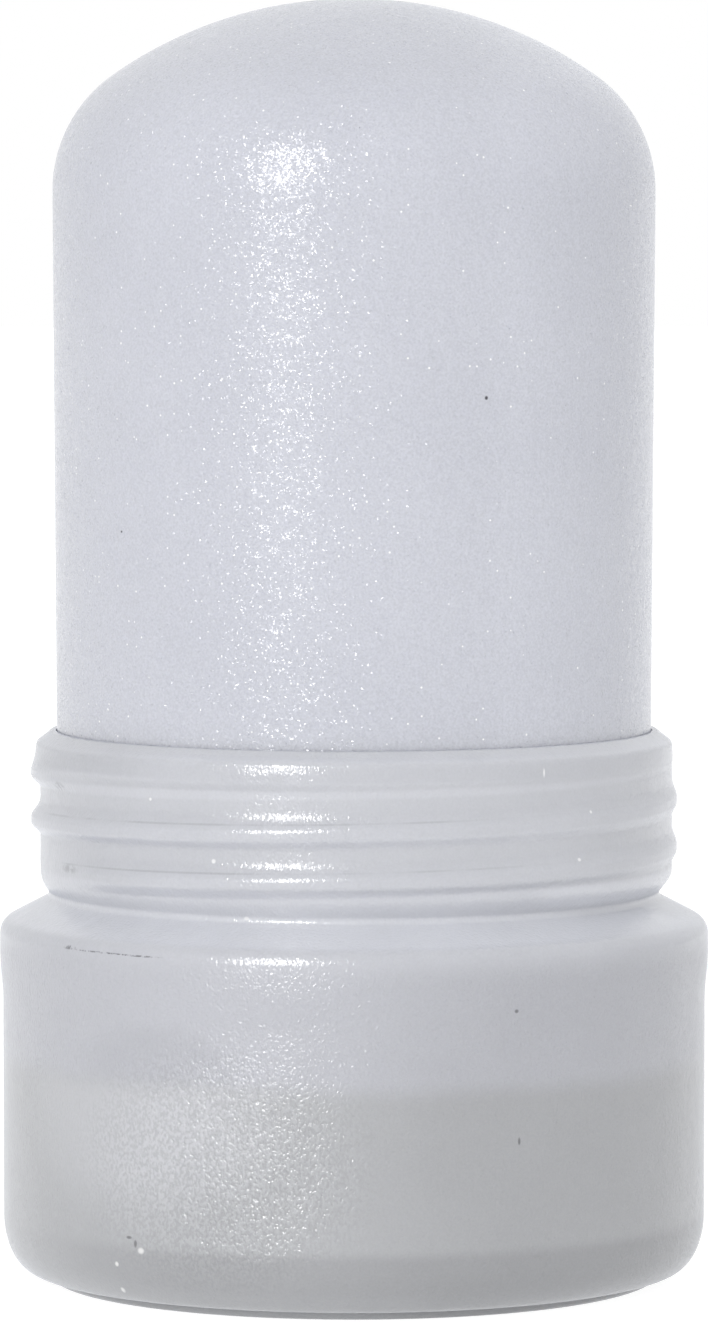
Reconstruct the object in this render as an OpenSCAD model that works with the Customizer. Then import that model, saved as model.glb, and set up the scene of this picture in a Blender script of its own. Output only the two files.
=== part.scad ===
// Alum deodorant stone: a domed stone standing in a blow-moulded base with a threaded neck.
// Millimetres. +Z is up and the front is towards -Y.
// The origin is the centre of the standing ring's underside.

/* [Overall] */
// Height from the surface it stands on to the top of the dome
total_h = 81.1; // [76:0.1:90]

/* [Stone] */
// Diameter of the stone where the dome begins
stone_d = 38.1; // [37.7:0.1:39.4]
// Diameter of the stone inside the neck
stone_neck_d = 37.7; // [37.2:0.1:38]
// Radius of the crown of the dome
dome_r = 26.5; // [24:0.1:34]
// Radius that rounds the dome into the side
dome_edge_r = 8.9; // [4:0.1:11]
// Length of the narrower end below the seat
spigot_l = 11.6; // [4:0.1:18]
// Radius round the bottom edge of the stone
spigot_edge_r = 2.5; // [0.5:0.1:3.5]

/* [Base body] */
// Outside diameter of the body
body_d = 44.6; // [43.8:0.1:47]
// How far the bead under the shoulder stands out beyond the body
bead_out = 0.2; // [0.05:0.05:0.6]
// Height of the straight bead under the shoulder's edge
bead_h = 1.2; // [0.5:0.1:3]
// Height over which the body widens to the bead
flare_h = 3; // [1:0.1:6]
// Radius of the shoulder's outer edge
shoulder_edge_r = 1.2; // [0.4:0.1:1.8]
// Fall of the shoulder from level, in degrees
shoulder_slope = 27; // [15:1:40]
// Wall of the body, the shoulder and the bottom
wall = 1.2; // [0.8:0.05:1.4]
// Height over which the heel rounds in from the body
heel_h = 3.6; // [2.2:0.1:5]
// How far the heel rounds in from the body
heel_in = 2; // [1.5:0.1:2.6]

/* [Foot] */
// Outside diameter of the standing ring
ring_d = 38.8; // [34:0.1:39.6]
// Width of the standing ring
ring_w = 1.9; // [1.2:0.1:3]
// How far the ring stands below the heel
ring_h = 0.6; // [0.4:0.05:1.2]
// Radius round the outer edge of the ring
ring_edge_r = 0.3; // [0.1:0.05:0.35]
// How far the bottom is raised inside the ring
recess_h = 1; // [0.6:0.1:2]

/* [Neck] */
// Height of the lip above the surface it stands on
lip_z = 34.9; // [33.6:0.1:40]
// Outside diameter of the plain band at the lip
lip_d = 40.5; // [40.3:0.1:41]
// Height of the plain band at the lip
lip_band_h = 1.4; // [1.2:0.1:2.1]
// Radius round the outer edge of the lip
lip_edge_r = 1.1; // [0.4:0.05:1.15]
// Bevel round the mouth of the neck
mouth_bevel = 0.15; // [0.05:0.05:0.2]
// Outside diameter of the neck between the threads
neck_d = 40.1; // [39.9:0.1:40.3]
// Radius that rounds the foot of the neck into the groove
neck_foot_r = 1.5; // [0.6:0.1:1.8]
// Diameter at the bottom of the groove between neck and shoulder
groove_d = 38.8; // [38.4:0.1:39.2]
// Height of the groove above the surface it stands on
groove_z = 24.3; // [20:0.1:25.2]
// Height of the flat at the bottom of the groove
groove_flat = 0.4; // [0.2:0.05:0.6]
// Height above the groove of the ledge that the stone sits on
seat_rise = 0.8; // [0.5:0.05:1.2]

/* [Thread] */
// Outside diameter over the thread
thread_d = 41; // [40.6:0.1:42]
// Rise of the thread in one turn
thread_pitch = 3; // [2.4:0.1:3.4]
// Width of the thread where it meets the neck
thread_w = 2.2; // [1.2:0.1:2.4]
// Height of the thread's first pass over the front, above the groove
thread_rise = 2.6; // [1.9:0.05:3]
// Angle before the front at which the thread starts
thread_lead = 65; // [30:5:120]
// Angle over which each end of the thread fades into the neck
thread_fade = 30; // [20:5:60]
// Distance between the thread's upper end and the plain band at the lip
thread_end_gap = 0.05; // [0:0.05:0.6]

/* [Fit] */
// Gap all round between the stone and the neck
neck_gap = 0.05; // [0.03:0.01:0.1]
// Gap all round between the stone's narrower end and the throat below the seat
throat_gap = 0.6; // [0.2:0.05:1.5]

/* [Hidden] */
$fn = 144;

// Most degrees between the points of a rounded stretch
arc_step = 6;
// Steps of the threaded neck's surface round the axis, and the height of its rows
neck_columns = 60;
neck_row_h = 0.33;
// How far the threaded neck's surface runs on into the wall of the groove and into the lip
neck_sink = 0.1;
// Steepness of the neck's foot where it leaves the groove, in degrees
foot_angle = 45;

stone_r = stone_d / 2;
stone_neck_r = stone_neck_d / 2;
bore_r = stone_neck_r + neck_gap;
body_r = body_d / 2;
bead_r = body_r + bead_out;
ring_r = ring_d / 2;
lip_r = lip_d / 2;
neck_r = neck_d / 2;
groove_r = groove_d / 2;
throat_r = groove_r - wall;
spigot_r = throat_r - throat_gap;
floor_z = recess_h + wall;
seat_z = groove_z + seat_rise;
spigot_z = seat_z - spigot_l;
band_z = lip_z - lip_band_h;

// Centre of the dome, and of the round that joins it to the side
dome_z = total_h - dome_r;
dome_edge_x = stone_r - dome_edge_r;
dome_edge_z = dome_z + sqrt(pow(dome_r - dome_edge_r, 2) - pow(dome_edge_x, 2));
dome_edge_angle = atan2(dome_edge_z - dome_z, dome_edge_x);

// Centre of the heel's round
heel_x = body_r - heel_in;
heel_z = ring_h + heel_h;

// Centre of the round at the shoulder's edge, from which the shoulder climbs to the groove
shoulder_x = bead_r - shoulder_edge_r;
shoulder_rise = (shoulder_x + shoulder_edge_r * sin(shoulder_slope) - groove_r) * tan(shoulder_slope);
shoulder_z = groove_z - shoulder_rise - shoulder_edge_r * cos(shoulder_slope);
bead_z = shoulder_z - bead_h;
flare_z = bead_z - flare_h;

// Foot of the neck: a slope that leaves the groove, and the centre of the round that takes it to the neck
slope_z = groove_z + groove_flat;
foot_x = neck_r - neck_foot_r;
slope_end_z = slope_z + (foot_x + neck_foot_r * sin(foot_angle) - groove_r) * tan(foot_angle);
foot_z = slope_end_z + neck_foot_r * cos(foot_angle);

// Height of the thread's ridge, where its middle line starts, and the angle that it turns through
thread_h = thread_d / 2 - neck_r;
thread_start_z = groove_z + thread_rise - thread_pitch * thread_lead / 360;
thread_sweep = 360 * (band_z - thread_end_gap - thread_w / 2 - thread_start_z) / thread_pitch;

// Height of the shoulder's inner face at a distance from the axis
function inner_shoulder_z(x) = groove_z - wall / cos(shoulder_slope) - (x - groove_r) * tan(shoulder_slope);

// Points of a rounded stretch about [x, z] from angle a to angle b, with half-width rx and half-height rz
function arc(x, z, rx, rz, a, b) =
    let (steps = ceil(abs(b - a) / arc_step))
    [for (i = [0:steps]) let (t = a + (b - a) * i / steps) [x + rx * cos(t), z + rz * sin(t)]];

stone_outline = concat(
    [[0, spigot_z]],
    arc(spigot_r - spigot_edge_r, spigot_z + spigot_edge_r, spigot_edge_r, spigot_edge_r, -90, 0),
    [[spigot_r, seat_z], [stone_neck_r, seat_z], [stone_neck_r, lip_z]],
    arc(dome_edge_x, dome_edge_z, dome_edge_r, dome_edge_r, 0, dome_edge_angle - arc_step / 2),
    arc(0, dome_z, dome_r, dome_r, dome_edge_angle, 90)
);

foot_outline = concat(
    [[0, recess_h], [ring_r - ring_w - recess_h, recess_h], [ring_r - ring_w, 0]],
    arc(ring_r - ring_edge_r, ring_edge_r, ring_edge_r, ring_edge_r, -90, 0),
    [[ring_r, ring_h]],
    arc(heel_x, heel_z, heel_in, heel_h, -90, 0)
);

shoulder_outline = concat(
    [[body_r, flare_z], [bead_r, bead_z]],
    arc(shoulder_x, shoulder_z, shoulder_edge_r, shoulder_edge_r, 0, 90 - shoulder_slope),
    [[groove_r, groove_z]]
);

lip_outline = concat(
    [[groove_r, band_z], [lip_r, band_z]],
    arc(lip_r - lip_edge_r, lip_z - lip_edge_r, lip_edge_r, lip_edge_r, 0, 90),
    [[bore_r + mouth_bevel, lip_z], [bore_r, lip_z - mouth_bevel]]
);

inner_outline = concat(
    [[bore_r, seat_z], [throat_r, seat_z], [throat_r, inner_shoulder_z(throat_r)]],
    [[bead_r - wall, inner_shoulder_z(bead_r - wall)], [bead_r - wall, bead_z], [body_r - wall, flare_z]],
    arc(heel_x, heel_z, heel_in - wall, heel_h - wall, 0, -90),
    [[ring_r - ring_w - recess_h, floor_z], [0, floor_z]]
);

// Distance of the neck's plain surface from the axis
function neck_surface_r(z) =
    z < slope_end_z ? groove_r + (z - slope_z) / tan(foot_angle) :
    z < foot_z ? foot_x + sqrt(pow(neck_foot_r, 2) - pow(foot_z - z, 2)) :
    neck_r;

// Share of the thread's full height at an angle along it, 0 where there is no thread
function thread_share(along) =
    let (t = min(1, along / thread_fade, (thread_sweep - along) / thread_fade))
    t <= 0 ? 0 : t * t * (3 - 2 * t);

// Height of the thread above the neck, at an angle round from the front and a height up the neck
function thread_height(turn, z) =
    max([for (pass = [-1:ceil(thread_sweep / 360)])
        let (
            along = turn + 360 * pass + thread_lead,
            across = (z - thread_start_z - thread_pitch * along / 360) / thread_w
        )
        abs(across) < 0.5 ? thread_h * pow(cos(180 * across), 2) * thread_share(along) : 0]);

module alum_stone() {
    color([0.83, 0.84, 0.87])
        rotate_extrude()
            polygon(stone_outline);
}

// Body, shoulder, groove and lip, with a plain core where the neck's surface goes
module base_wall() {
    rotate_extrude()
        polygon(concat(foot_outline, shoulder_outline, lip_outline, inner_outline));
}

// The neck's outer surface with its thread, as a ring round the plain core
module threaded_neck() {
    low_z = slope_z - neck_sink;
    high_z = band_z + neck_sink;
    rows = ceil((high_z - low_z) / neck_row_h);
    inner_r = (bore_r + groove_r) / 2;
    column = rows + 3;
    points = [for (i = [0:neck_columns - 1], j = [-1:rows + 1])
        let (
            turn = 360 * i / neck_columns,
            z = low_z + (high_z - low_z) * min(max(j, 0), rows) / rows,
            r = j < 0 || j > rows ? inner_r : neck_surface_r(z) + thread_height(turn, z)
        )
        [r * sin(turn), -r * cos(turn), z]];
    faces = [for (i = [0:neck_columns - 1], j = [0:column - 1])
        let (
            a = i * column + j,
            b = i * column + (j + 1) % column,
            next = i == neck_columns - 1 ? -i * column : column
        )
        each [[a, b, b + next], [a, b + next, a + next]]];
    polyhedron(points, faces, convexity = 6);
}

module base_cup() {
    color([0.76, 0.77, 0.79]) {
        base_wall();
        threaded_neck();
    }
}

alum_stone();
base_cup();
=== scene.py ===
"""Alum deodorant stone in its screw-necked base: the pieces, their finishes and the studio they stand in.

Sizes are millimetres where no line says metres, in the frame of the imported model: +Z is up and the front is
towards -Y.
"""

import logging
import math
from dataclasses import dataclass
from enum import Enum

import bmesh
import bpy
from mathutils import Matrix, Vector


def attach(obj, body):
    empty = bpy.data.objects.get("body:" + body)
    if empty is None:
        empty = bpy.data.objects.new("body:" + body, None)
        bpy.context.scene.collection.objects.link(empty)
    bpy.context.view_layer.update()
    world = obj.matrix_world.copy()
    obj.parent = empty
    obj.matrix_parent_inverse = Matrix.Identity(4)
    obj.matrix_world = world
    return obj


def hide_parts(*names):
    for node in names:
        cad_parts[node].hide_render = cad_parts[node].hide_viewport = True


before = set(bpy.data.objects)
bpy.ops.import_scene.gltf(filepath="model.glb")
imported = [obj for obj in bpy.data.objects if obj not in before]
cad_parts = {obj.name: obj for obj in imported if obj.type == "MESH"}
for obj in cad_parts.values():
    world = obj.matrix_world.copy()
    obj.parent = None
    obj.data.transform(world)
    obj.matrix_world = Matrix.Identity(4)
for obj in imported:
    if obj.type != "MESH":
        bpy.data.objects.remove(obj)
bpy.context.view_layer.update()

LOG = logging.getLogger("alum_deodorant_stone")
MM = 0.001
Point = tuple[float, float]
Outline = list[Point]
Colour = tuple[float, float, float]
Socket = bpy.types.NodeSocket
Number = Socket | float


def arc(
    x: float, z: float, half_width: float, half_height: float, start: float, end: float, steps: int
) -> Outline:
    """Points of a rounded stretch of an outline.

    Args:
        x: Distance of its centre from the axis.
        z: Height of its centre.
        half_width: Radius along x.
        half_height: Radius along z.
        start: First angle in degrees, from level.
        end: Last angle in degrees.
        steps: Number of stretches between the points.

    Returns:
        The points as (distance from the axis, height).
    """
    turns = [math.radians(start + (end - start) * i / steps) for i in range(steps + 1)]
    return [(x + half_width * math.cos(t), z + half_height * math.sin(t)) for t in turns]


def even_steps(start: Point, end: Point, steps: int) -> Outline:
    """Points between two corners of an outline, without the corners.

    Args:
        start: First corner.
        end: Last corner.
        steps: Number of stretches between the corners.

    Returns:
        The points as (distance from the axis, height).
    """
    shares = [i / steps for i in range(1, steps)]
    return [(start[0] + (end[0] - start[0]) * s, start[1] + (end[1] - start[1]) * s) for s in shares]


def shown(name: str, shape: bmesh.types.BMesh, material: bpy.types.Material) -> bpy.types.Object:
    """Puts an object into the scene.

    Args:
        name: Name of the object and its mesh.
        shape: The mesh in metres, which is used up.
        material: Its finish.

    Returns:
        The object, at the origin.
    """
    mesh = bpy.data.meshes.new(name)
    shape.to_mesh(mesh)
    shape.free()
    mesh.materials.append(material)
    made = bpy.data.objects.new(name, mesh)
    bpy.context.scene.collection.objects.link(made)
    return made


def ease(value: float, low: float, high: float) -> float:
    """Smooth share from 0 at low to 1 at high."""
    t = min(1.0, max(0.0, (value - low) / (high - low)))
    return t * t * (3 - 2 * t)


class Along(Enum):
    """What a span is measured along."""

    HEIGHT = "height"
    ACROSS = "place along x"
    CREST = "height above the nearest crest of the thread"
    # Painted shade: the line above the crest stands for the shade of the thread's steep upper flank.
    CREASE = "distance from the painted shade line above the crest"
    SHADE_BREAKS = "clouds that thin that line out"


@dataclass(frozen=True)
class Span:
    """Smooth change of a share from one place to another.

    Attributes:
        along: What the places are measured along.
        low: Place where the change begins.
        high: Place where it ends.
        start: Share before the change.
        end: Share after it.
    """

    along: Along
    low: float
    high: float
    start: float = 0.0
    end: float = 1.0


@dataclass(frozen=True)
class Zone:
    """Part of a surface whose colour is painted lighter or darker, to stand for light or shade.

    Attributes:
        factor: What its colour is multiplied by.
        spans: Spans whose shares, multiplied, say how much of it is at a place.
    """

    factor: float
    spans: tuple[Span, ...]


@dataclass(frozen=True)
class Cloud:
    """Cloudy pattern, about 0.5 on average.

    Attributes:
        size: Size of its largest clouds in mm.
        detail: Number of finer layers.
        roughness: Strength of the finer layers.
        shift: How far it is moved along each axis in mm, so that two patterns differ.
        tall: How much higher than wide its clouds are.
        faint: Value that counts as none of it.
        full: Value that counts as all of it.
        start: Number that goes with none of it.
        end: Number that goes with all of it.
    """

    size: float
    detail: float = 2.0
    roughness: float = 0.5
    shift: float = 0.0
    tall: float = 1.0
    faint: float = 0.3
    full: float = 0.7
    start: float = 0.0
    end: float = 1.0


@dataclass(frozen=True)
class Crystals:
    """Surface of small flat crystals, each of which leans its own way.

    Attributes:
        size: Size of a crystal in mm.
        tilt: How far every crystal may lean, as a slope.
        rare_tilt: How much farther the few that lean most do.
        rarity: How few those are, as the power of an even spread.
    """

    size: float
    tilt: float
    rare_tilt: float
    rarity: float = 3.0


@dataclass(frozen=True)
class PaintedGlints:
    """Layer of painted glints: tiny white dots in the colour, fewer on the right, away from the lamp, than on the
    left.

    Attributes:
        size: Distance between the places where one may be, in mm.
        shift: How far the layer is moved in mm, so that two layers differ.
        bare: Share of the places on the left that have none.
        outer_r: Distance in mm from a glint's middle at which it ends.
        inner_r: Distance within which it is full.
        left: Place along x up to which they are most frequent.
        right: Place along x from which they are rarest.
        edge: How soon a place is full of its glint, once it isn't bare.
        strength: How much of the surface's own colour they hide.
    """

    size: float
    shift: float
    bare: float
    outer_r: float = 0.09
    inner_r: float = 0.04
    left: float = -15.0
    right: float = 16.0
    edge: float = 0.02
    strength: float = 0.8


@dataclass(frozen=True)
class Mark:
    """Soft oval on a surface.

    Attributes:
        turn: Degrees of its middle round from the front, towards +X.
        height: Height of its middle in mm.
        half_width: Half its width in degrees.
        half_height: Half its height in mm.
    """

    turn: float
    height: float
    half_width: float
    half_height: float


@dataclass(frozen=True)
class Flecks:
    """Small marks of one kind.

    Attributes:
        colour: Their colour.
        strength: How much of the surface's own colour they hide.
        marks: Where they are.
        smeared: Whether they are broken up like a smear.
    """

    colour: Colour
    strength: float
    marks: tuple[Mark, ...]
    smeared: bool = False


@dataclass(frozen=True)
class NeckThread:
    """Soft raised thread on the neck, right-handed, with one start.

    Attributes:
        crest_r: Radius of its crest.
        first_z: Height of its first pass over the front.
        pitch: Rise in one turn.
        top: Half the width of its rounded crest.
        under: Height of its lower flank.
        over: Height of its upper flank, which runs out longer into the neck.
        start: Angle at which it starts, in degrees round from the front.
        end: Angle at which it ends.
        fade: Degrees over which each end fades into the neck.
        lean: How much higher it runs on the left than on the right, over an even helix.
    """

    crest_r: float = 20.5
    first_z: float = 26.88
    pitch: float = 3.0
    top: float = 0.17
    under: float = 0.8
    over: float = 1.35
    start: float = -66.0
    end: float = 672.0
    fade: float = 30.0
    lean: float = 0.1

    def share(self, turn: float, height: float) -> float:
        """Share of the crest's height that the thread has at a place.

        Args:
            turn: Degrees round from the front, from -180 to 180.
            height: Height in mm.

        Returns:
            A share from 0 to 1.
        """
        most = 0.0
        for passing in range(-1, 3):
            along = turn + 360 * passing
            middle = self.first_z + self.pitch * along / 360 - self.lean * math.sin(math.radians(turn))
            ends = ease(along, self.start, self.start + self.fade) * ease(-along, -self.end, self.fade - self.end)
            above = height - middle
            down = 1 - ease(-above, self.top, self.top + self.under)
            t = min(1.0, max(0.0, (above - self.top) / self.over))
            most = max(most, ends * (down if above < 0 else (1 - t) ** 3 * (1 + 3 * t)))
        return most


class Nodes:
    """A node tree, with a short call for each kind of node that the scene uses."""

    def __init__(self, tree: bpy.types.NodeTree) -> None:
        """Empties the tree that the nodes go into."""
        self.tree = tree
        self.tree.nodes.clear()

    def node(self, kind: str, inputs: dict, **settings) -> bpy.types.Node:
        """Adds one node.

        Args:
            kind: Blender's name of the node's class.
            inputs: Values or sockets by the name or number of the input.
            settings: Values of the node's own properties.

        Returns:
            The node.
        """
        made = self.tree.nodes.new(kind)
        for name, value in settings.items():
            setattr(made, name, value)
        for key, value in inputs.items():
            if isinstance(value, Socket):
                self.tree.links.new(value, made.inputs[key])
            else:
                made.inputs[key].default_value = value
        return made

    def calc(self, operation: str, a: Number, b: Number = 0.0, c: Number = 0.0) -> Socket:
        """Result of a sum on numbers."""
        return self.node("ShaderNodeMath", {0: a, 1: b, 2: c}, operation=operation).outputs[0]

    def product(self, *values: Number) -> Socket:
        """Multiplies numbers.

        Args:
            values: The numbers.

        Returns:
            Their product.
        """
        result = values[0]
        for value in values[1:]:
            result = self.calc("MULTIPLY", result, value)
        return result

    def vector(self, operation: str, first: Socket, second: Socket | Colour = (0.0, 0.0, 0.0)) -> Socket:
        """Result of a sum on vectors."""
        return self.node("ShaderNodeVectorMath", {0: first, 1: second}, operation=operation).outputs[0]

    def scaled(self, vector: Socket, factor: Number) -> Socket:
        """A vector or a colour times a number."""
        return self.node("ShaderNodeVectorMath", {0: vector, "Scale": factor}, operation="SCALE").outputs[0]

    def by_ray(self, light: Number, seen: float) -> Socket:
        """A number that is one thing for plain light and another for what is seen.

        Args:
            light: Number for plain light.
            seen: Number for what the camera, a gloss or a clear surface sees.

        Returns:
            The number's socket.
        """
        path = self.node("ShaderNodeLightPath", {})
        share = path.outputs["Is Camera Ray"]
        for name in ("Is Glossy Ray", "Is Transmission Ray"):
            share = self.calc("MAXIMUM", share, path.outputs[name])
        return self.node("ShaderNodeMapRange", {"Value": share, "To Min": light, "To Max": seen}).outputs[0]


class NodeSheet(Nodes):
    """One material's nodes, with patterns that are laid out in millimetres in the model's frame."""

    def __init__(self, name: str) -> None:
        """Starts an empty material.

        Args:
            name: Name of the material.
        """
        self.material = bpy.data.materials.new(name)
        self.material.use_nodes = True
        super().__init__(self.material.node_tree)
        self.place = self.scaled(self.node("ShaderNodeTexCoord", {}).outputs["Object"], 1 / MM)
        x, y, height = self.node("ShaderNodeSeparateXYZ", {"Vector": self.place}).outputs
        self.turn = self.calc("DEGREES", self.calc("ARCTAN2", x, self.calc("MULTIPLY", y, -1.0)))
        self.along = {Along.ACROSS: x, Along.HEIGHT: height}

    def moved(self, shift: float) -> Socket:
        """The place, moved by a number of mm along each axis."""
        return self.vector("ADD", self.place, (shift, shift, shift)) if shift else self.place

    def ramp(self, value: Socket, low: float, high: float, start: float = 0.0, end: float = 1.0) -> Socket:
        """A number carried smoothly from one span to another, and held at the span's ends.

        Args:
            value: The number.
            low: Where the first span begins.
            high: Where it ends.
            start: Result at low.
            end: Result at high.

        Returns:
            The result's socket.
        """
        inputs = {"Value": value, "From Min": low, "From Max": high, "To Min": start, "To Max": end}
        return self.node("ShaderNodeMapRange", inputs, interpolation_type="SMOOTHSTEP").outputs[0]

    def share(self, spans: tuple[Span, ...]) -> Socket:
        """Share that is left of a zone at a place, after all its spans."""
        return self.product(*[self.ramp(self.along[s.along], s.low, s.high, s.start, s.end) for s in spans])

    def noise(self, cloud: Cloud) -> Socket:
        """Plain values of a cloudy pattern.

        Args:
            cloud: The pattern.

        Returns:
            The values' socket.
        """
        place = self.moved(cloud.shift)
        if cloud.tall != 1.0:
            place = self.vector("MULTIPLY", place, (1.0, 1.0, 1 / cloud.tall))
        inputs = {"Vector": place, "Scale": 1 / cloud.size, "Detail": cloud.detail, "Roughness": cloud.roughness}
        return self.node("ShaderNodeTexNoise", inputs).outputs[0]

    def clouded(self, cloud: Cloud) -> Socket:
        """The number that goes with a cloudy pattern."""
        return self.ramp(self.noise(cloud), cloud.faint, cloud.full, cloud.start, cloud.end)

    def blend(self, share: Socket, first: Socket | Colour, second: Socket | Colour) -> Socket:
        """A colour between two others, or the second of them where share is 1."""
        ends = [colour if isinstance(colour, Socket) else (*colour, 1.0) for colour in (first, second)]
        return self.node("ShaderNodeMix", {0: share, 6: ends[0], 7: ends[1]}, data_type="RGBA").outputs[2]

    def shaded(self, colour: Socket, share: Socket, factor: float) -> Socket:
        """A colour that is multiplied by a factor as far as a share reaches."""
        return self.scaled(colour, self.ramp(share, 0.0, 1.0, 1.0, factor))

    def zoned(self, colour: Socket, zones: tuple[Zone, ...]) -> Socket:
        """A colour that is made lighter or darker in some zones.

        Args:
            colour: The colour.
            zones: The zones.

        Returns:
            The new colour's socket.
        """
        for zone in zones:
            colour = self.shaded(colour, self.share(zone.spans), zone.factor)
        return colour

    def spot(self, mark: Mark) -> Socket:
        """Share of a place that a soft oval covers.

        Args:
            mark: The oval.

        Returns:
            The share's socket, from 0 outside the oval to 1 in its middle.
        """
        across = self.calc("DIVIDE", self.calc("SUBTRACT", self.turn, mark.turn), mark.half_width)
        up = self.calc("SUBTRACT", self.along[Along.HEIGHT], mark.height)
        up = self.calc("DIVIDE", up, mark.half_height)
        return self.ramp(self.calc("ADD", self.product(across, across), self.product(up, up)), 1.0, 0.0)

    def flecked(self, colour: Socket, flecks: Flecks, smear: Number = 1.0) -> Socket:
        """A colour with small marks on it.

        Args:
            colour: The colour.
            flecks: The marks.
            smear: Share that is left of those that are smeared.

        Returns:
            The new colour's socket.
        """
        for mark in flecks.marks:
            share = self.product(self.spot(mark), smear if flecks.smeared else 1.0, flecks.strength)
            colour = self.blend(share, colour, flecks.colour)
        return colour

    def with_painted_glints(self, colour: Socket, glints: PaintedGlints) -> Socket:
        """A colour with a layer of painted glints on it: tiny white dots.

        Args:
            colour: The colour.
            glints: The layer.

        Returns:
            The new colour's socket.
        """
        inputs = {"Vector": self.moved(glints.shift), "Scale": 1 / glints.size}
        cells = self.node("ShaderNodeTexVoronoi", inputs)
        own = self.node("ShaderNodeSeparateColor", {"Color": cells.outputs["Color"]}).outputs[0]
        near = self.ramp(cells.outputs["Distance"], glints.outer_r / glints.size, glints.inner_r / glints.size)
        bare = self.ramp(
            self.along[Along.ACROSS], glints.left, glints.right, glints.bare, (1.0 + glints.bare) / 2
        )
        chosen = self.ramp(self.calc("SUBTRACT", own, bare), 0.0, glints.edge)
        return self.blend(self.product(near, chosen, glints.strength), colour, (1.0, 1.0, 1.0))

    def bump(self, height: Socket, depth: float, under: Socket | None = None) -> Socket:
        """Relief that a pattern gives.

        Args:
            height: The pattern.
            depth: Its depth in mm.
            under: Relief that it lies on, if there is one.

        Returns:
            The relief's socket.
        """
        inputs = {"Height": height, "Distance": depth * MM, "Strength": 1.0}
        if under is not None:
            inputs["Normal"] = under
        return self.node("ShaderNodeBump", inputs).outputs[0]

    def facets(self, crystals: Crystals, under: Socket) -> Socket:
        """Relief of small flat crystals.

        Args:
            crystals: The crystals.
            under: Relief that they lie on.

        Returns:
            The relief's socket.
        """
        cells = self.node("ShaderNodeTexVoronoi", {"Vector": self.place, "Scale": 1 / crystals.size})
        lean = self.vector("SUBTRACT", cells.outputs["Color"], (0.5, 0.5, 0.5))
        own = self.node("ShaderNodeTexWhiteNoise", {"Vector": cells.outputs["Position"]}).outputs["Value"]
        rare = self.calc("POWER", own, crystals.rarity)
        reach = self.calc("MULTIPLY_ADD", rare, crystals.rare_tilt, crystals.tilt)
        return self.vector("NORMALIZE", self.vector("ADD", under, self.scaled(lean, reach)))

    def above_crest(self, thread: NeckThread) -> Socket:
        """Height above the nearest crest of a thread.

        Args:
            thread: The thread.

        Returns:
            The height's socket, in mm and negative below the crest.
        """
        slant = self.calc("MULTIPLY", self.turn, thread.pitch / 360)
        sway = self.calc("MULTIPLY", self.calc("SINE", self.calc("RADIANS", self.turn)), -thread.lean)
        middle = self.calc("ADD", self.calc("ADD", slant, sway), thread.first_z)
        passes = self.calc("DIVIDE", self.calc("SUBTRACT", self.along[Along.HEIGHT], middle), thread.pitch)
        part = self.calc("SUBTRACT", self.calc("FRACT", self.calc("ADD", passes, 0.5)), 0.5)
        return self.calc("MULTIPLY", part, thread.pitch)


@dataclass(frozen=True)
class Finish:
    """A translucent material under a soft clear gloss and a faint bluish haze.

    Attributes:
        name: Name of the material.
        ior: Its index of refraction.
        specular: Strength of its gloss.
        coat: Weight of the wide soft gloss over it.
        coat_roughness: Roughness of that gloss.
        haze: Weight of the haze that its outline shows.
        haze_roughness: Roughness of the haze.
        haze_tint: Colour of the haze.
        scatter: Share of the light that enters it.
        scatter_scale: How far that light travels, in metres.
        scatter_radius: How far each colour of it travels, over that length.
    """

    name: str
    ior: float
    specular: float
    coat: float
    haze: float
    scatter: float
    scatter_scale: float
    coat_roughness: float = 0.42
    haze_roughness: float = 0.35
    haze_tint: Colour = (0.75, 0.83, 1.0)
    scatter_radius: Colour = (1.0, 1.0, 1.1)

    def surface(self, sheet: NodeSheet, colour: Socket, roughness: Socket, relief: Socket) -> bpy.types.Material:
        """Joins the colour, the roughness and the relief to the shader of a material.

        Args:
            sheet: The material's nodes.
            colour: Its colour.
            roughness: Its roughness.
            relief: Its relief.

        Returns:
            The finished material.
        """
        inputs = {
            "Base Color": colour,
            "Roughness": roughness,
            "IOR": self.ior,
            "Normal": relief,
            "Subsurface Weight": self.scatter,
            "Subsurface Radius": self.scatter_radius,
            "Subsurface Scale": self.scatter_scale,
            "Specular IOR Level": self.specular,
            "Coat Weight": self.coat,
            "Coat Roughness": self.coat_roughness,
            "Sheen Weight": self.haze,
            "Sheen Roughness": self.haze_roughness,
            "Sheen Tint": (*self.haze_tint, 1.0),
        }
        shader = sheet.node("ShaderNodeBsdfPrincipled", inputs)
        sheet.node("ShaderNodeOutputMaterial", {"Surface": shader.outputs[0]})
        return sheet.material


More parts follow.
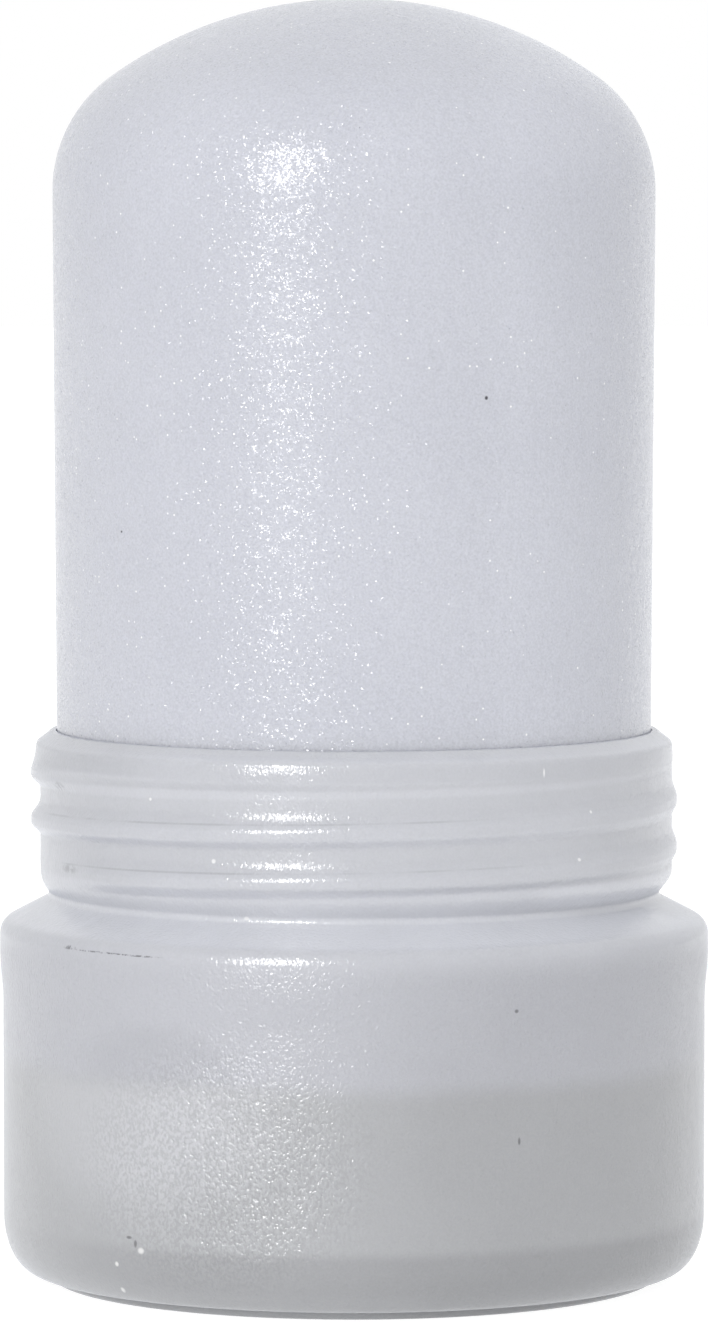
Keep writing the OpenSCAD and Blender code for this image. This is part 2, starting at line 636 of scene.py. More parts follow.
@dataclass(frozen=True)
class AlumFinish(Finish):
    """Fine-grained, waxy alum with tiny painted glints.

    Attributes:
        pale: Colour of its clearer clouds.
        deep: Colour of its denser clouds.
        clouds: The clouds of its colour.
        grain: Its fine grain, with factors of its colour.
        glints: Its layers of painted glints.
        zones: Where painted light makes it lighter: its right side, away from the lamp.
        flecks: Dark flecks in its surface.
        swell: Its soft unevenness.
        swell_depth: Depth of that in mm.
        crystals: Its crystals.
        polish: Where it is smoother and rougher, with its roughness.
    """

    name: str = "alum"
    ior: float = 1.46
    specular: float = 0.65
    coat: float = 0.25
    haze: float = 0.2
    scatter: float = 0.5
    scatter_scale: float = 0.003
    pale: Colour = (0.564, 0.575, 0.632)
    deep: Colour = (0.543, 0.554, 0.611)
    clouds: Cloud = Cloud(14.0, detail=3.0, faint=0.35, full=0.65)
    grain: Cloud = Cloud(0.15, detail=1.0, roughness=0.4, faint=0.25, full=0.75, start=0.945, end=1.055)
    # Painted glints: white dots in the colour, commoner on the lamp's side.
    glints: tuple[PaintedGlints, ...] = (PaintedGlints(0.42, shift=3.0, bare=0.88), PaintedGlints(0.6, shift=17.0, bare=0.9))
    # Painted light: the right side, which the lamp reaches less, is made lighter.
    zones: tuple[Zone, ...] = (Zone(1.045, (Span(Along.ACROSS, 6.0, 11.0),)),)
    flecks: Flecks = Flecks((0.05, 0.05, 0.06), 1.0, (Mark(25.2, 56.4, 0.45, 0.16), Mark(-49.3, 48.0, 0.3, 0.1)))
    swell: Cloud = Cloud(0.8, detail=1.0)
    swell_depth: float = 0.08
    crystals: Crystals = Crystals(0.095, tilt=0.13, rare_tilt=0.7)
    polish: Cloud = Cloud(0.5, start=0.10, end=0.15)

    def make(self) -> bpy.types.Material:
        """Makes the material.

        Returns:
            The material.
        """
        sheet = NodeSheet(self.name)
        colour = sheet.blend(sheet.clouded(self.clouds), self.deep, self.pale)
        colour = sheet.scaled(colour, sheet.clouded(self.grain))
        for layer in self.glints:
            colour = sheet.with_painted_glints(colour, layer)
        colour = sheet.flecked(sheet.zoned(colour, self.zones), self.flecks)
        relief = sheet.facets(self.crystals, sheet.bump(sheet.noise(self.swell), self.swell_depth))
        return self.surface(sheet, colour, sheet.clouded(self.polish), relief)


# Stretches of the base where its finish paints light and shade into the colour
FOOT_BAND = (
    Span(Along.HEIGHT, 5.0, 3.6),
    Span(Along.ACROSS, -21.0, -10.0, 0.3, 1.0),
    Span(Along.HEIGHT, 1.0, 2.6, 0.5, 1.0),
)
GROOVE = (Span(Along.HEIGHT, 22.7, 23.3), Span(Along.HEIGHT, 25.2, 24.4))
NECK_FOOT = (Span(Along.HEIGHT, 24.6, 25.2), Span(Along.HEIGHT, 26.6, 26.0))
THREADED = (Span(Along.HEIGHT, 26.6, 27.2), Span(Along.HEIGHT, 33.0, 32.4))
# Painted shade: a thin line just above each crest of the thread, fading out on the right.
SHADE_LINE = (
    Span(Along.CREASE, 0.09, 0.03),
    Span(Along.SHADE_BREAKS, 0.35, 0.6, 0.25, 1.0),
    Span(Along.ACROSS, 0.0, 14.0, 1.0, 0.25),
)
LIP_BAND = (Span(Along.HEIGHT, 32.7, 33.3),)
# Dark colour of the specks, of the thin lines on the shoulder's edge, and of the painted shade at the left of the
# thread.
DIRT_AND_SHADE: Colour = (0.09, 0.09, 0.10)


@dataclass(frozen=True)
class FrostedFinish(Finish):
    """Frosted natural plastic, through which the stone's lower end shows as a paler zone.

    Attributes:
        neck: Colour where the stone fills the neck.
        over_stone: Colour of the body where the stone is close behind it.
        over_hollow: Colour of the body round the hollow below the stone.
        lit_hollow: Colour of the body where light falls through the hollow.
        lit: Where that is.
        lit_strength: How far the body takes on that colour there.
        stone_fade: Heights between which the stone's lower end comes to show.
        wander: How those heights wander round the body.
        wander_h: How far they wander in mm.
        shadow: Shadow of the stone's lower end.
        shadow_factor: What the body's colour is multiplied by there.
        neck_fade: Heights between which the body's colour goes over to the neck's.
        body_zones: Where painted shade makes the body darker.
        zones: Where painted light and shade make the whole base lighter or darker.
        mottle: Faint clouds in it, with factors of its colour.
        frost: Its fine grain, with factors of its colour.
        peel: Its orange peel, with its roughness.
        peel_depth: Depth of the peel in mm.
        peel_body: Heights between which the peel deepens from the neck's to the body's.
        peel_shares: Least share of that depth on the neck, and over the hollow.
        raked: Where light rakes the peel.
        raked_depth: How much deeper the peel is there.
        raked_peel: Values of the peel that show there as darkest and lightest.
        raked_light: How far its colour then goes up and down.
        ripple: Its soft unevenness.
        ripple_depth: Depth of that in mm.
        smear: What breaks up its smeared marks.
        specks: Dark specks.
        edge_lines: Thin dark lines on the left of the shoulder's edge.
        painted_shade_patches: Faint painted shade at the left of the thread, near its upper end and lower down the
            neck.
        nicks: Pale nicks.
        crease: Height above the thread's crest of the line of painted shade on its steep upper flank.
        shade_breaks: Clouds that thin that painted shade out.
    """

    name: str = "frosted_plastic"
    ior: float = 1.51
    specular: float = 1.0
    coat: float = 0.35
    haze: float = 0.22
    scatter: float = 0.4
    scatter_scale: float = 0.002
    neck: Colour = (0.503, 0.512, 0.550)
    over_stone: Colour = (0.466, 0.473, 0.515)
    over_hollow: Colour = (0.40, 0.407, 0.425)
    lit_hollow: Colour = (0.512, 0.518, 0.548)
    lit: Mark = Mark(-38.0, 13.5, 31.0, 9.0)
    lit_strength: float = 0.85
    stone_fade: tuple[float, float] = (13.5, 15.3)
    wander: Cloud = Cloud(9.0, detail=1.0)
    wander_h: float = 0.9
    shadow: Mark = Mark(-33.0, 15.8, 19.0, 3.0)
    shadow_factor: float = 0.93
    neck_fade: tuple[float, float] = (20.5, 23.4)
    # Painted shade: the body away from the lamp, at its right outline, low down where the bottom lies behind the
    # wall, and at the right of the heel.
    body_zones: tuple[Zone, ...] = (
        Zone(0.87, (Span(Along.ACROSS, -8.0, 11.0),)),  # away from the lamp
        Zone(0.88, (Span(Along.ACROSS, 20.0, 22.2),)),  # its right outline
        Zone(0.81, FOOT_BAND),  # the bottom behind the wall
        Zone(0.92, (Span(Along.HEIGHT, 6.0, 1.5), Span(Along.ACROSS, 14.0, 21.0))),  # the right of the heel
    )
    # Painted light and shade: darker on the left and on the lip band, most where the lamp falls; lighter on the
    # thread's lower flanks, the neck's foot, the lip's slope and the groove, where shade falls.
    zones: tuple[Zone, ...] = (
        Zone(0.96, (Span(Along.ACROSS, -10.0, -18.0),)),  # its left
        # Painted shade line above each crest.
        Zone(0.85, (*THREADED, *SHADE_LINE)),
        Zone(1.08, (*THREADED, Span(Along.CREST, -1.1, -0.6), Span(Along.CREST, -0.1, -0.45))),  # lower flanks
        Zone(1.1, NECK_FOOT),
        Zone(1.12, (*NECK_FOOT, Span(Along.ACROSS, 9.0, 16.0))),
        Zone(1.13, (Span(Along.HEIGHT, 34.0, 34.4),)),  # the lip
        Zone(1.24, (*GROOVE, Span(Along.ACROSS, 18.0, 3.5, 0.5, 1.0))),
        Zone(0.97, LIP_BAND),
        Zone(0.94, (*LIP_BAND, Span(Along.ACROSS, -9.0, -17.0))),
    )
    mottle: Cloud = Cloud(6.0, detail=3.0, start=0.985, end=1.015)
    frost: Cloud = Cloud(0.14, faint=0.25, full=0.75, start=0.98, end=1.02)
    peel: Cloud = Cloud(0.19, detail=1.0, roughness=0.45, tall=1.3, start=0.15, end=0.21)
    peel_depth: float = 0.072
    peel_body: tuple[float, float] = (22.6, 20.6)
    peel_shares: tuple[float, float] = (0.5, 0.75)
    raked: Mark = Mark(-23.0, 9.5, 31.0, 9.0)
    raked_depth: float = 1.65
    raked_peel: tuple[float, float] = (0.35, 0.65)
    raked_light: float = 0.1
    ripple: Cloud = Cloud(1.6, detail=1.0, shift=8.0)
    ripple_depth: float = 0.06
    smear: Cloud = Cloud(0.35, detail=3.0, roughness=0.6, shift=5.0, faint=0.42, full=0.56)
    specks: Flecks = Flecks(
        DIRT_AND_SHADE,
        0.8,
        (
            Mark(26.3, 19.1, 0.45, 0.16), Mark(26.9, 11.1, 0.3, 0.3),
            Mark(-38.3, 4.85, 0.7, 0.13), Mark(-37.0, 4.5, 0.4, 0.3),
        ),
    )
    edge_lines: Flecks = Flecks(
        DIRT_AND_SHADE,
        0.8,
        (Mark(-51.5, 22.38, 2.0, 0.16), Mark(-44.0, 22.30, 8.0, 0.07), Mark(-36.0, 22.28, 5.5, 0.07)),
        smeared=True,
    )
    # Painted shade: faint dark patches on the left of the neck.
    painted_shade_patches: Flecks = Flecks(DIRT_AND_SHADE, 0.35, (Mark(-66.0, 31.9, 3.0, 0.35), Mark(-63.0, 26.8, 4.0, 0.35)), smeared=True)
    nicks: Flecks = Flecks(
        (0.9, 0.9, 0.9),
        0.7,
        (
            Mark(-35.9, 4.1, 0.8, 0.25), Mark(-41.1, 3.1, 0.5, 0.2), Mark(-41.3, 1.4, 0.6, 0.22),
            Mark(-38.8, 31.7, 0.4, 0.13), Mark(-25.4, 28.1, 0.55, 0.18), Mark(-19.8, 24.6, 0.6, 0.16),
            Mark(35.2, 33.4, 0.25, 0.35), Mark(45.8, 30.8, 0.4, 0.13), Mark(43.1, 27.9, 0.5, 0.14),
        ),
    )
    crease: float = 0.66
    shade_breaks: Cloud = Cloud(4.0, shift=11.0)

    def stone_behind(self, sheet: NodeSheet) -> Socket:
        """Share of the stone that shows through the base at a height, from 0 below it to 1."""
        moved = sheet.calc("MULTIPLY_ADD", sheet.noise(self.wander), self.wander_h, -self.wander_h / 2)
        return sheet.ramp(sheet.calc("ADD", sheet.along[Along.HEIGHT], moved), *self.stone_fade)

    def colour(self, sheet: NodeSheet, stone: Socket, peel: Socket, raked: Socket) -> Socket:
        """Colour of the base.

        Args:
            sheet: The material's nodes.
            stone: Share of the stone that shows through the base.
            peel: Values of the orange peel.
            raked: Share of the light that rakes the peel.

        Returns:
            The colour's socket.
        """
        height = sheet.along[Along.HEIGHT]
        colour = sheet.blend(stone, self.over_hollow, self.over_stone)
        glow = sheet.product(sheet.spot(self.lit), sheet.calc("SUBTRACT", 1.0, stone), self.lit_strength)
        colour = sheet.blend(glow, colour, self.lit_hollow)
        colour = sheet.shaded(colour, sheet.product(sheet.spot(self.shadow), stone), self.shadow_factor)
        colour = sheet.zoned(colour, self.body_zones)
        colour = sheet.blend(sheet.ramp(height, *self.neck_fade), colour, self.neck)
        colour = sheet.scaled(colour, sheet.clouded(self.mottle))
        colour = sheet.scaled(colour, sheet.clouded(self.frost))
        # Painted light and shade: the peel's ridges lighter and darker where light rakes it.
        ridges = sheet.ramp(peel, *self.raked_peel, -self.raked_light, self.raked_light)
        colour = sheet.scaled(colour, sheet.calc("MULTIPLY_ADD", ridges, raked, 1.0))
        colour = sheet.zoned(colour, self.zones)
        smear = sheet.clouded(self.smear)
        for kind in (self.specks, self.edge_lines, self.painted_shade_patches, self.nicks):
            colour = sheet.flecked(colour, kind, smear)
        return colour

    def make(self, thread: NeckThread) -> bpy.types.Material:
        """Makes the material.

        Args:
            thread: The thread that it follows.

        Returns:
            The material.
        """
        sheet = NodeSheet(self.name)
        crest = sheet.above_crest(thread)
        sheet.along[Along.CREST] = crest
        sheet.along[Along.CREASE] = sheet.calc("ABSOLUTE", sheet.calc("SUBTRACT", crest, self.crease))
        sheet.along[Along.SHADE_BREAKS] = sheet.noise(self.shade_breaks)
        stone, peel, raked = self.stone_behind(sheet), sheet.noise(self.peel), sheet.spot(self.raked)
        on_neck, over_hollow = self.peel_shares
        body = sheet.ramp(sheet.along[Along.HEIGHT], *self.peel_body)
        depth = sheet.product(
            sheet.ramp(body, 0.0, 1.0, on_neck, 1.0),
            sheet.ramp(stone, 0.0, 1.0, over_hollow, 1.0),
            sheet.ramp(raked, 0.0, 1.0, 1.0, self.raked_depth),
        )
        relief = sheet.bump(sheet.product(peel, depth), self.peel_depth)
        relief = sheet.bump(sheet.noise(self.ripple), self.ripple_depth, relief)
        roughness = sheet.ramp(peel, self.peel.faint, self.peel.full, self.peel.start, self.peel.end)
        return self.surface(sheet, self.colour(sheet, stone, peel, raked), roughness, relief)


class Ground(Enum):
    """Names of what the part stands on and in."""

    FLOOR = "studio_floor"
    WORLD = "studio_surroundings"


@dataclass
class Lathe:
    """Turns an outline about the upright axis into a smooth closed mesh.

    Attributes:
        columns: Number of steps round the axis.
        weld: Distance in mm at which points become one.
        sharp_angle: Angle between faces, in degrees, from which their edge stays sharp.
    """

    columns: int = 256
    weld: float = 1e-5
    sharp_angle: float = 38.0

    def turn(self, outline: Outline) -> bmesh.types.BMesh:
        """Spins an outline through a full turn.

        Args:
            outline: Points as (distance from the axis, height), which begins and ends on the axis.

        Returns:
            The mesh, in millimetres.
        """
        shape = bmesh.new()
        points = [shape.verts.new((radius, 0.0, height)) for radius, height in outline]
        edges = [shape.edges.new(pair) for pair in zip(points, points[1:])]
        bmesh.ops.spin(
            shape, geom=points + edges, cent=(0, 0, 0), axis=(0, 0, 1), dvec=(0, 0, 0),
            angle=2 * math.pi, steps=self.columns, use_merge=True, use_duplicate=False,
        )
        bmesh.ops.remove_doubles(shape, verts=shape.verts, dist=self.weld)
        bmesh.ops.recalc_face_normals(shape, faces=shape.faces)
        return shape

    def piece(self, name: str, shape: bmesh.types.BMesh, material: bpy.types.Material) -> bpy.types.Object:
        """Makes a smooth object from a turned mesh.

        Args:
            name: Name of the object and its mesh.
            shape: The mesh in millimetres, which is used up.
            material: Its finish.

        Returns:
            The object, at the origin and in metres.
        """
        bmesh.ops.scale(shape, vec=(MM, MM, MM), verts=shape.verts)
        made = shown(name, shape, material)
        made.data.shade_smooth()
        made.data.set_sharp_from_angle(angle=math.radians(self.sharp_angle))
        return made


@dataclass
class AlumStone:
    """The domed stone, with the narrower lower end that hangs below its seat.

    Attributes:
        side_r: Radius where the dome begins.
        neck_r: Radius inside the neck.
        top_z: Height of the top of the dome.
        dome_r: Radius of the crown of the dome.
        dome_edge_r: Radius that rounds the dome into the side.
        lip_z: Height of the lip that it comes out of.
        seat_z: Height of the ledge that it sits on.
        low_r: Radius of the narrower lower end.
        low_z: Height of its underside.
        low_edge_r: Radius round its bottom edge.
        fan_r: Radius of the fan of faces in the middle of its underside.
        finish: Its finish.
    """

    side_r: float = 19.05
    neck_r: float = 18.85
    top_z: float = 81.1
    dome_r: float = 26.5
    dome_edge_r: float = 8.9
    lip_z: float = 34.9
    seat_z: float = 25.1
    low_r: float = 17.6
    low_z: float = 13.5
    low_edge_r: float = 2.5
    fan_r: float = 7.0
    finish: AlumFinish = AlumFinish()

    def outline(self) -> Outline:
        """Outline of the stone.

        Returns:
            The points from the middle of the underside to the top of the dome.
        """
        low_edge = self.low_edge_r
        dome_z = self.top_z - self.dome_r
        edge_x = self.side_r - self.dome_edge_r
        edge_z = dome_z + math.sqrt((self.dome_r - self.dome_edge_r) ** 2 - edge_x**2)
        meet = math.degrees(math.atan2(edge_z - dome_z, edge_x))
        return [
            (0.0, self.low_z),
            (self.fan_r, self.low_z),
            *arc(self.low_r - low_edge, self.low_z + low_edge, low_edge, low_edge, -90, 0, steps=10),
            (self.low_r, self.seat_z),
            (self.neck_r, self.seat_z),
            *even_steps((self.neck_r, self.seat_z), (self.neck_r, self.lip_z), steps=8),
            (self.neck_r, self.lip_z),
            *even_steps((self.neck_r, self.lip_z), (self.side_r, edge_z), steps=24),
            *arc(edge_x, edge_z, self.dome_edge_r, self.dome_edge_r, 0, meet, steps=24),
            *arc(0.0, dome_z, self.dome_r, self.dome_r, meet, 90, steps=30)[1:],
        ]

    def build(self, lathe: Lathe) -> bpy.types.Object:
        """Turns the stone, which stands for its CAD node.

        Args:
            lathe: What it is turned on.

        Returns:
            Its object.
        """
        stone = lathe.piece("stone", lathe.turn(self.outline()), self.finish.make())
        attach(stone, "root")
        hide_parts("alum_stone")
        return stone


@dataclass
class BaseCup:
    """The blow-moulded base: foot ring, heel, body, shoulder, groove, threaded neck and lip, with its hollow.

    Attributes:
        wall: Wall of the body, the shoulder and the bottom.
        body_r: Radius of the body.
        bead_r: Radius under the shoulder's edge.
        bead_h: Height of the straight bead under the shoulder's edge.
        flare_h: Height over which the body widens to the bead.
        inner_bead_z: Height inside at which the widening is complete.
        inner_flare_z: Height inside at which it begins.
        fan_r: Radius of the fan of faces in the middle of the underside.
        recess_h: Height of the bottom inside the ring.
        recess_edge_r: Radius where that bottom turns down to the ring.
        ring_r: Outer radius of the standing ring.
        ring_w: Width of the standing ring.
        ring_h: Height of the ring below the heel.
        ring_edge_r: Radius round the ring's lower edges.
        ring_inner_w: Width of the round of its inner edge.
        crease: Width and height of the round between the ring and the heel.
        heel_in: How far the heel rounds in.
        heel_h: Height of the heel's round.
        shoulder_edge_r: Radius of the shoulder's outer edge.
        slope: Fall of the shoulder in degrees.
        groove_r: Radius of the groove.
        groove_z: Height of the groove.
        groove_flat: Height of the groove's bottom.
        groove_edge: Points of the groove's lower edge, out from its radius and up from its height.
        row_h: Height of a row of faces on the neck.
        neck_foot_h: Height of the round between the groove and the neck.
        valley_r: Radius of the neck between the threads.
        valley_lean: How much shallower the neck is on the right than at the front.
        valley_fade: Heights between which that lean fades out under the band.
        band_r: Radius of the plain band at the lip.
        band_fade: Heights between which the neck widens to the band.
        band_rows_z: Height of the last row of the neck.
        band_z: Height of the lower end of the band's straight part.
        band_taper: How much narrower the band is at its upper end.
        corner_z: Height of that end, where the lip's corner begins.
        corner: Width and height of the lip's corner.
        corner_end: Angle in degrees at which the corner goes over to the lip's slope.
        slope_start: How far in from the band the slope begins, and at what height.
        slope_end: Radius at which it ends, and how far that is below the lip.
        mouth_edge: Distance of the mouth's edge round from the axis, and its radius.
        lip_z: Height of the lip.
        bore_r: Radius of the mouth.
        bore_bevel: Bevel round the mouth.
        throat_r: Radius of the throat below the seat.
        seat_z: Height of the seat.
        thread_zone: Least radius and greatest height of what the thread may move.
        thread: The thread on the neck.
        finish: Its finish.
    """

    wall: float = 1.2
    body_r: float = 22.3
    bead_r: float = 22.5
    bead_h: float = 1.2
    flare_h: float = 3.0
    inner_bead_z: float = 20.8
    inner_flare_z: float = 17.8
    fan_r: float = 8.0
    recess_h: float = 1.0
    recess_edge_r: float = 0.5
    ring_r: float = 19.4
    ring_w: float = 1.9
    ring_h: float = 0.6
    ring_edge_r: float = 0.3
    ring_inner_w: float = 0.35
    crease: Point = (0.18, 0.1)
    heel_in: float = 2.0
    heel_h: float = 3.6
    shoulder_edge_r: float = 1.2
    slope: float = 27.0
    groove_r: float = 19.4
    groove_z: float = 24.3
    groove_flat: float = 0.4
    groove_edge: tuple[Point, ...] = ((0.12, -0.04), (0.02, 0.08), (0.0, 0.2))
    row_h: float = 0.08
    neck_foot_h: float = 1.4
    valley_r: float = 20.06
    valley_lean: float = 0.14
    valley_fade: Point = (32.3, 32.9)
    band_r: float = 20.22
    band_fade: Point = (32.4, 33.0)
    band_rows_z: float = 33.55
    band_z: float = 33.6
    band_taper: float = 0.04
    corner_z: float = 33.9
    corner: Point = (0.35, 0.42)
    corner_end: float = 42.0
    slope_start: Point = (0.09, 34.18)
    slope_end: Point = (19.32, 0.12)
    mouth_edge: Point = (19.1, 0.3)
    lip_z: float = 34.9
    bore_r: float = 18.9
    bore_bevel: float = 0.03
    throat_r: float = 18.2
    seat_z: float = 25.1
    thread_zone: Point = (19.2, 33.64)
    thread: NeckThread = NeckThread()
    finish: FrostedFinish = FrostedFinish()

    @property
    def neck_low_z(self) -> float:
        """Height at which the groove ends and the neck begins."""
        return self.groove_z + self.groove_flat

    @property
    def heel_z(self) -> float:
        """Height at which the heel goes over to the body."""
        return self.ring_h + self.heel_h

    def foot_outline(self) -> Outline:
        """Outline of the underside, the standing ring and the heel.

        Returns:
            The points from the axis outwards.
        """
        ring_inner_r = self.ring_r - self.ring_w
        recess, edge = self.recess_edge_r, self.ring_edge_r
        wide, high = self.crease
        return [
            (0.0, self.recess_h),
            (self.fan_r, self.recess_h),
            *arc(ring_inner_r - recess, self.recess_h - recess, recess, recess, 90, 20, steps=5),
            *arc(ring_inner_r + self.ring_inner_w, edge, self.ring_inner_w, edge, 180, 270, steps=4),
            *arc(self.ring_r - edge, edge, edge, edge, -90, 0, steps=6),
            *arc(self.ring_r + wide, self.ring_h - high, wide, high, 180, 90, steps=4),
            *arc(self.body_r - self.heel_in, self.heel_z, self.heel_in, self.heel_h, -88, 0, steps=22),
        ]

    def shoulder_outline(self) -> Outline:
        """Outline of the body, the bead, the shoulder and the groove's lower edge.

        Returns:
            The points from the heel upwards.
        """
        edge = self.shoulder_edge_r
        tilt = math.radians(self.slope)
        edge_x = self.bead_r - edge
        rise = (edge_x + edge * math.sin(tilt) - self.groove_r) * math.tan(tilt)
        edge_z = self.groove_z - rise - edge * math.cos(tilt)
        flare_z = edge_z - self.bead_h - self.flare_h
        flare_out, flare_steps = self.bead_r - self.body_r, 6
        corner = arc(edge_x, edge_z, edge, edge, 0, 90 - self.slope, steps=14)
        groove = [(self.groove_r + out, self.groove_z + up) for out, up in self.groove_edge]
        return [
            *even_steps((self.body_r, self.heel_z), (self.body_r, flare_z), steps=10),
            *[
                (self.body_r + flare_out * ease(i, 0, flare_steps), flare_z + self.flare_h * i / flare_steps)
                for i in range(flare_steps + 1)
            ],
            *corner,
            *even_steps(corner[-1], groove[0], steps=6),
            *groove,
        ]

    def neck_radius(self, height: float) -> float:
        """Radius of the neck without its thread.

        Args:
            height: Height in mm.

        Returns:
            The radius in mm.
        """
        up = min(1.0, (height - self.neck_low_z) / self.neck_foot_h)
        foot = self.groove_r + (self.valley_r - self.groove_r) * math.sin(math.pi / 2 * up)
        return foot + (self.band_r - self.valley_r) * ease(height, *self.band_fade)

    def neck_outline(self) -> Outline:
        """Outline of the neck's plain wall and the lip.

        Returns:
            The points from the groove up to the mouth.
        """
        low = self.neck_low_z
        rows = [low + self.row_h * i for i in range(int((self.band_rows_z - low) / self.row_h) + 1)]
        band_top_r = self.band_r - self.band_taper
        wide, high = self.corner
        slope_in, slope_z = self.slope_start
        slope_end_r, slope_end_down = self.slope_end
        mouth_x, mouth_r = self.mouth_edge
        slope_start, slope_end = (self.band_r - slope_in, slope_z), (slope_end_r, self.lip_z - slope_end_down)
        return [
            *[(self.neck_radius(z), z) for z in rows],
            *even_steps((self.band_r, self.band_z), (band_top_r, self.corner_z), steps=3),
            *arc(band_top_r - wide, self.corner_z, wide, high, 0, self.corner_end, steps=6),
            *even_steps(slope_start, slope_end, steps=5),
            *arc(mouth_x, self.lip_z - mouth_r, mouth_r, mouth_r, 45, 90, steps=4),
            (self.bore_r + self.bore_bevel, self.lip_z),
            (self.bore_r, self.lip_z - self.bore_bevel),
        ]

    def under_shoulder(self, radius: float) -> float:
        """Height of the shoulder's inner face at a distance from the axis."""
        tilt = math.radians(self.slope)
        return self.groove_z - self.wall / math.cos(tilt) - (radius - self.groove_r) * math.tan(tilt)

    def inner_outline(self) -> Outline:
        """Outline of the bore, the seat, the throat and the hollow.

        Returns:
            The points from the mouth down to the axis.
        """
        body_in, bead_in = self.body_r - self.wall, self.bead_r - self.wall
        heel_in = self.heel_in - self.wall
        floor_r, floor_z = self.ring_r - self.ring_w - self.recess_h, self.recess_h + self.wall
        return [
            (self.bore_r, self.seat_z),
            (self.throat_r, self.seat_z),
            (self.throat_r, self.under_shoulder(self.throat_r)),
            (bead_in, self.under_shoulder(bead_in)),
            (bead_in, self.inner_bead_z),
            (body_in, self.inner_flare_z),
            *arc(body_in - heel_in, self.heel_z, heel_in, self.heel_h - self.wall, 0, -90, steps=6),
            (floor_r, floor_z),
            (0.0, floor_z),
        ]

    def raise_thread(self, shape: bmesh.types.BMesh) -> None:
        """Moves the outer wall of the neck out to its thread, and in to its deeper side.

        Args:
            shape: The turned base.
        """
        low = self.neck_low_z
        least_r, high = self.thread_zone
        for vert in shape.verts:
            x, y, z = vert.co
            radius = math.hypot(x, y)
            if radius < least_r or not low < z < high:
                continue
            turn = math.degrees(math.atan2(x, -y))
            plain = ease(z, low, low + self.neck_foot_h) * (1 - ease(z, *self.valley_fade))
            wall = radius + self.valley_lean * math.sin(math.radians(turn)) * plain
            wall += (self.thread.crest_r - wall) * self.thread.share(turn, z)
            vert.co.x *= wall / radius
            vert.co.y *= wall / radius

    def build(self, lathe: Lathe) -> bpy.types.Object:
        """Turns the base, which stands for its CAD node.

        Args:
            lathe: What it is turned on.

        Returns:
            Its object.
        """
        outline = self.foot_outline() + self.shoulder_outline() + self.neck_outline() + self.inner_outline()
        shape = lathe.turn(outline)
        self.raise_thread(shape)
        base = lathe.piece("base", shape, self.finish.make(self.thread))
        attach(base, "root")
        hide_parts("base_cup")
        return base


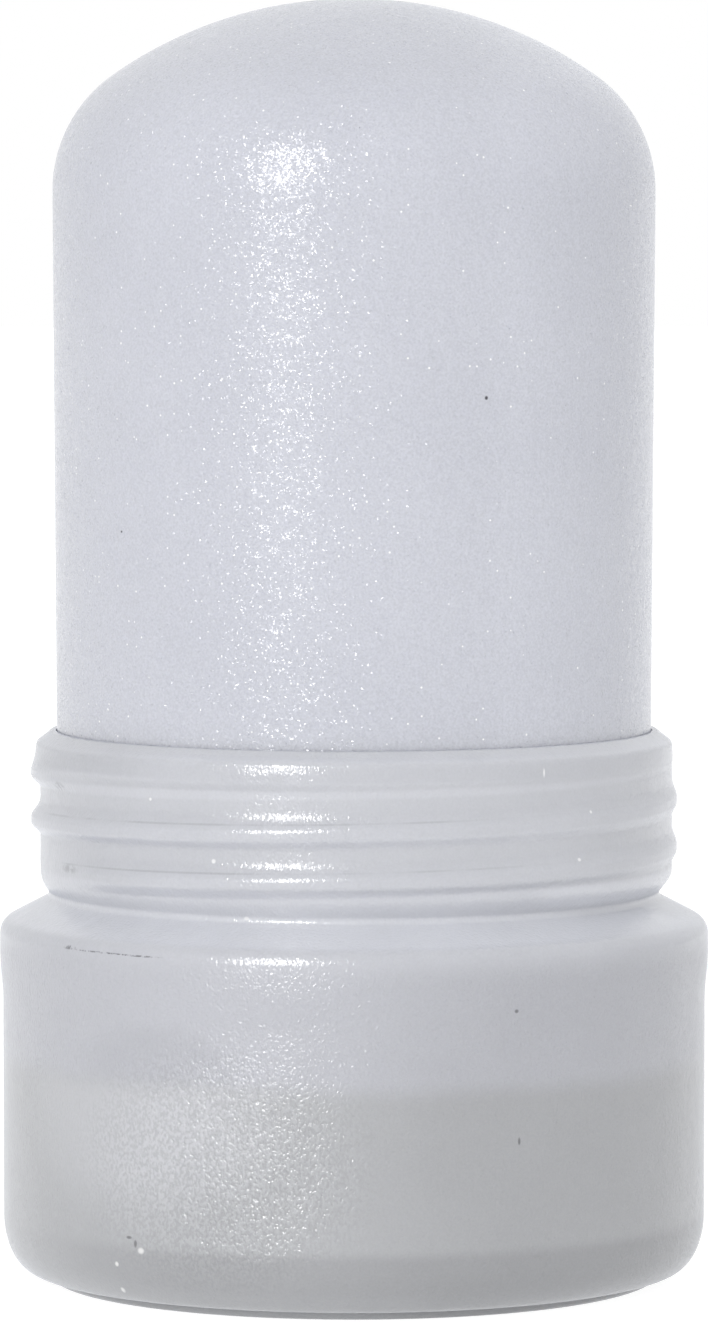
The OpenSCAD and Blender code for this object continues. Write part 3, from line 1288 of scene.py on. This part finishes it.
@dataclass
class Studio:
    """White surroundings, one broad soft lamp at the front left, and the camera.

    Attributes:
        camera_y: Distance of the camera in front of the axis, in metres.
        camera_z: Height of the camera in metres.
        camera_pitch: Fall of the camera's view in degrees.
        lens: Focal length for a long side of 36 mm.
        clip: Nearest and farthest that the camera sees, in metres.
        lamp_turn: Degrees of the lamp round from the front, towards +X.
        lamp_rise: Height of the lamp in degrees.
        lamp_distance: Distance of the lamp in metres.
        lamp_aim_z: Height in metres that the lamp points at.
        lamp_size: Width and height of the lamp in metres.
        lamp_power: Power of the lamp in watts.
        ambient: Strength of the white surroundings as light.
        ambient_lean: How much stronger that light is along each axis than in the middle.
        floor_size: Half the floor's width in metres.
        floor_paint: How light the floor is.
        floor_glow: Strength of the light that keeps it white.
        floor_glow_share: Share of that light in plain light, and in what is seen.
    """

    camera_y: float = 0.475
    camera_z: float = 0.06992
    camera_pitch: float = 3.7
    lens: float = 204.24
    clip: tuple[float, float] = (0.01, 20.0)
    lamp_turn: float = -27.0
    lamp_rise: float = 20.5
    lamp_distance: float = 1.0
    lamp_aim_z: float = 0.045
    lamp_size: tuple[float, float] = (0.2, 0.58)
    lamp_power: float = 4.65
    ambient: float = 0.675
    ambient_lean: tuple[float, float, float] = (0.27, 0.0, 0.06)
    floor_size: float = 3.0
    floor_paint: float = 0.8
    floor_glow: float = 1.5
    floor_glow_share: tuple[float, float] = (0.2, 0.6)

    def set_camera(self) -> None:
        """Makes the camera and gives it to the scene."""
        camera = bpy.data.objects.new("camera", bpy.data.cameras.new("camera"))
        camera.data.lens = self.lens
        camera.data.sensor_width = 36.0
        camera.data.clip_start, camera.data.clip_end = self.clip
        camera.location = (0.0, -self.camera_y, self.camera_z)
        camera.rotation_euler = (math.radians(90 - self.camera_pitch), 0.0, 0.0)
        bpy.context.scene.collection.objects.link(camera)
        bpy.context.scene.camera = camera

    def set_lamp(self) -> None:
        """Makes the soft lamp."""
        data = bpy.data.lights.new("soft_lamp", "AREA")
        data.shape = "RECTANGLE"
        data.size, data.size_y = self.lamp_size
        data.energy = self.lamp_power
        lamp = bpy.data.objects.new("soft_lamp", data)
        lamp.visible_camera = False
        turn, rise = math.radians(self.lamp_turn), math.radians(self.lamp_rise)
        back = Vector((math.sin(turn) * math.cos(rise), -math.cos(turn) * math.cos(rise), math.sin(rise)))
        place = Vector((0.0, 0.0, self.lamp_aim_z)) + back * self.lamp_distance
        lamp.matrix_world = Matrix.Translation(place) @ back.to_track_quat("Z", "Y").to_matrix().to_4x4()
        bpy.context.scene.collection.objects.link(lamp)

    def set_surroundings(self) -> None:
        """Makes the white surroundings, which show as pure white and light the object more softly."""
        world = bpy.data.worlds.new(Ground.WORLD.value)
        bpy.context.scene.world = world
        world.use_nodes = True
        sheet = Nodes(world.node_tree)
        towards = sheet.node("ShaderNodeTexCoord", {}).outputs["Generated"]
        inputs = {0: towards, 1: self.ambient_lean}
        lean = sheet.node("ShaderNodeVectorMath", inputs, operation="DOT_PRODUCT").outputs["Value"]
        strength = sheet.by_ray(light=sheet.calc("ADD", lean, self.ambient), seen=1.0)
        inputs = {"Color": (1.0, 1.0, 1.0, 1.0), "Strength": strength}
        back = sheet.node("ShaderNodeBackground", inputs)
        sheet.node("ShaderNodeOutputWorld", {"Surface": back.outputs[0]})

    def set_floor(self) -> None:
        """Makes the white floor, which keeps a soft shadow."""
        material = bpy.data.materials.new(Ground.FLOOR.value)
        material.use_nodes = True
        sheet = Nodes(material.node_tree)
        paint = sheet.node("ShaderNodeBsdfDiffuse", {"Color": (*[self.floor_paint] * 3, 1.0)}).outputs[0]
        glow = sheet.node("ShaderNodeEmission", {"Strength": self.floor_glow}).outputs[0]
        mixed = sheet.node("ShaderNodeMixShader", {0: sheet.by_ray(*self.floor_glow_share), 1: paint, 2: glow})
        sheet.node("ShaderNodeOutputMaterial", {"Surface": mixed.outputs[0]})
        shape = bmesh.new()
        bmesh.ops.create_grid(shape, x_segments=2, y_segments=2, size=self.floor_size)
        floor = shown(Ground.FLOOR.value, shape, material)

    def set_up(self) -> None:
        """Makes the whole studio."""
        bpy.context.scene.view_settings.view_transform = "Standard"
        self.set_camera()
        self.set_lamp()
        self.set_surroundings()
        self.set_floor()


def main() -> None:
    """Builds the studio and the pieces in order, and reports each."""
    logging.basicConfig(level=logging.INFO, format="%(message)s")
    Studio().set_up()
    LOG.info("studio set up")
    lathe = Lathe()
    for part in (AlumStone(), BaseCup()):
        piece = part.build(lathe)
        LOG.info("%s: %d faces", piece.name, len(piece.data.polygons))


if __name__ == "__main__":
    main()
